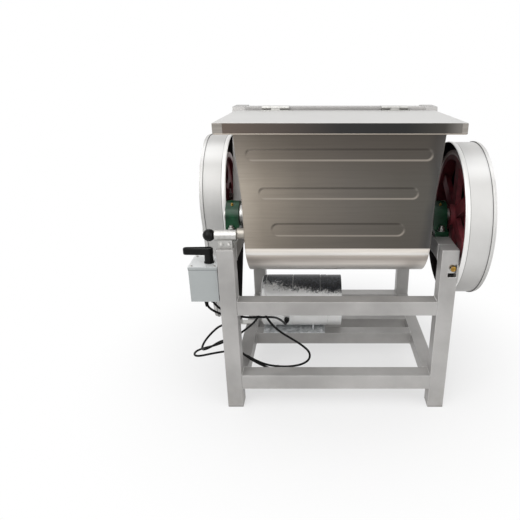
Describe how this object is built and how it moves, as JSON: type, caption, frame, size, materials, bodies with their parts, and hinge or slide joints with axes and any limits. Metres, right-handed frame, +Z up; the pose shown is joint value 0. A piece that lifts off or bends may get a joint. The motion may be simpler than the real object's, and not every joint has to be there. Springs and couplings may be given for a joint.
{
  "type": "dough mixer",
  "caption": "Tilting-trough dough mixer with a horizontal bar agitator, folding lid, belt and gear drive under round side covers, on a square-tube frame.",
  "frame": {"origin": "on the floor under the middle of the machine's outer box, cables left out", "axes": "+X to the machine's right as seen from the operator's side, +Y to the back, +Z up"},
  "size_m": [0.9239, 0.6704, 0.914],
  "materials": {
    "frame_paint": "satin",
    "cover_paint": "satin",
    "stainless": "brushed",
    "bright_steel": "machined",
    "gear_paint": "painted",
    "pinion_steel": "oiled",
    "belt_rubber": "matt",
    "bearing_green": "gloss",
    "motor_metal": "satin",
    "galvanised": "galvanised",
    "black_plastic": "matt",
    "box_paint": "satin",
    "cable_black": "matt"
  },
  "bodies": {
    "frame": {"front_left_leg": "frame_paint", "front_right_leg": "frame_paint", "rear_left_leg": "frame_paint", "rear_right_leg": "frame_paint", "left_bearing_beam": "frame_paint", "left_lower_side_rail": "frame_paint", "right_bearing_beam": "frame_paint", "right_lower_side_rail": "frame_paint", "front_upper_rail": "frame_paint", "front_lower_rail": "frame_paint", "rear_lower_rail": "frame_paint", "rear_upper_rail": "frame_paint", "front_motor_rail": "frame_paint", "rear_motor_rail": "frame_paint", "left_lid_stand": "frame_paint", "right_lid_stand": "frame_paint", "lid_crossbeam": "frame_paint", "right_gear_cover": "cover_paint", "left_belt_cover": "cover_paint", "hinge_beam_leaves": "bright_steel", "bearing_bolts": "bright_steel", "cover_and_cord_fasteners": "bright_steel", "lock_sleeve": "bright_steel", "drive_belts": "belt_rubber", "left_shaft_bearing": "bearing_green", "left_countershaft_bearing": "bearing_green", "right_shaft_bearing": "bearing_green", "right_countershaft_bearing": "bearing_green", "motor_housing": "motor_metal", "motor_fan_cowl": "motor_metal", "motor_base": "galvanised", "power_plug": "black_plastic", "switch_box": "box_paint", "power_cord": "cable_black", "motor_lead": "cable_black"},
    "trough": {"trough_wrap": "stainless", "trough_left_end": "stainless", "trough_right_end": "stainless", "trough_rim": "stainless", "left_trough_flange": "bright_steel", "right_trough_flange": "bright_steel", "flange_bolts": "bright_steel", "lock_boss": "stainless", "rear_lug": "stainless"},
    "lid": {"lid": "stainless", "hinge_lid_leaves": "bright_steel"},
    "agitator": {"agitator_bars": "stainless", "left_stub_shaft": "bright_steel", "right_drive_shaft": "bright_steel", "gear_wheel": "gear_paint", "bearing_inner_rings": "bright_steel"},
    "countershaft": {"countershaft": "bright_steel", "drive_pinion": "pinion_steel", "driven_pulley": "gear_paint"},
    "motor_rotor": {"motor_shaft": "bright_steel", "motor_fan": "black_plastic", "motor_pulley": "gear_paint"},
    "lock_plunger": {"lock_pin": "bright_steel", "lock_knob": "black_plastic"},
    "lever": {"switch_lever": "black_plastic"}
  },
  "joints": [
    {"name": "trough_tilt", "type": "hinge", "parent": "frame", "child": "trough", "pos_m": [0.0085, -0.11875, 0.596], "axis": [1, 0, 0], "range_deg": [0, 80]},
    {"name": "lid_hinge", "type": "hinge", "parent": "frame", "child": "lid", "pos_m": [0.0085, 0.07675, 0.909], "axis": [-1, 0, 0], "range_deg": [0, 180.5]},
    {"name": "agitator_spin", "type": "hinge", "parent": "frame", "child": "agitator", "pos_m": [0.0085, -0.11875, 0.596], "axis": [1, 0, 0], "continuous": true},
    {"name": "countershaft_spin", "type": "hinge", "parent": "frame", "child": "countershaft", "pos_m": [0.0085, 0.10725, 0.596], "axis": [1, 0, 0], "continuous": true},
    {"name": "motor_spin", "type": "hinge", "parent": "frame", "child": "motor_rotor", "pos_m": [0.0085, 0.03525, 0.219], "axis": [1, 0, 0], "continuous": true},
    {"name": "lock_pull", "type": "slide", "parent": "frame", "child": "lock_plunger", "axis": [-1, 0, 0], "range_m": [0, 0.018], "stiffness_N_per_m": 600, "springref_m": -0.012},
    {"name": "switch_turn", "type": "hinge", "parent": "frame", "child": "lever", "pos_m": [-0.3745, -0.26475, 0.516], "axis": [0, 0, 1], "range_deg": [-45, 45]}
  ],
  "couplings": [
    {"joint": "lid_hinge", "follows": "trough_tilt", "ratio": 2.25},
    {"joint": "countershaft_spin", "follows": "agitator_spin", "ratio": -7.0714},
    {"joint": "motor_spin", "follows": "agitator_spin", "ratio": -25.143}
  ]
}
